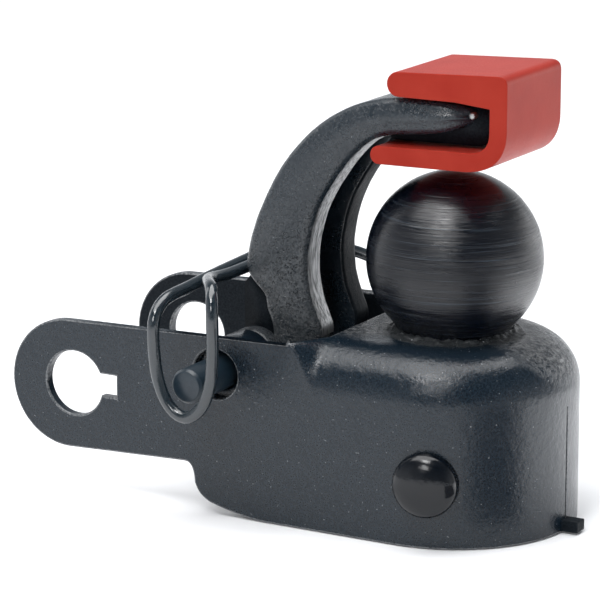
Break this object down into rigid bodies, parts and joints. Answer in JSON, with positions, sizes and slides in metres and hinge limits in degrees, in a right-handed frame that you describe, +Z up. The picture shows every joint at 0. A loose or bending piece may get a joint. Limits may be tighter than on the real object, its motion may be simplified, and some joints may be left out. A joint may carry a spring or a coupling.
{
  "type": "ball hitch",
  "caption": "Compact trailer ball hitch: pressed housing with two mounting ears, a ball on top, a hinged keeper arm with a plastic cap over the ball, and a lock pin with a wire bail.",
  "frame": {"origin": "middle of the overall box at the base plane that the housing stands on", "axes": "+X from the mounting ears towards the nose, +Y across the width towards the lock pin's head, +Z up"},
  "size_m": [0.167, 0.1098, 0.1303],
  "materials": {
    "black_paint": "semi-gloss black paint over pressed steel",
    "cast_black": "black painted rough casting",
    "turned_black": "black finish over fine turning marks",
    "rivet_black": "glossy black",
    "pin_steel": "dark oxidised steel",
    "wire_steel": "dark spring wire, satin",
    "zinc": "zinc-plated steel",
    "red_plastic": "satin red moulded plastic"
  },
  "bodies": {
    "housing": {"housing_shell": "black_paint", "top_backing_plate": "black_paint", "nose_floor_plate": "black_paint", "hitch_ball": "turned_black", "ball_flat_washer": "zinc", "ball_spring_washer": "zinc", "ball_nut": "zinc", "cross_rivet": "rivet_black", "rivet_spacer_tube": "zinc", "front_spacer": "black_paint", "rear_spacer": "black_paint"},
    "keeper": {"keeper_arm": "cast_black", "keeper_cap": "red_plastic", "cap_pin": "zinc"},
    "pin": {"lock_pin": "pin_steel", "pin_washer": "zinc"},
    "bail": {"bail_wire": "wire_steel"}
  },
  "joints": [
    {"name": "keeper_hinge", "type": "hinge", "parent": "housing", "child": "keeper", "pos_m": [-0.01436, 0.0019, 0.0413], "axis": [0, -1, 0], "range_deg": [0, 35]},
    {"name": "pin_slide", "type": "slide", "parent": "keeper", "child": "pin", "axis": [0, 1, 0], "range_m": [0, 0.012]},
    {"name": "bail_swing", "type": "hinge", "parent": "pin", "child": "bail", "pos_m": [-0.01436, 0.0489, 0.0413], "axis": [-1, 0, 0], "range_deg": [0, 135]}
  ]
}
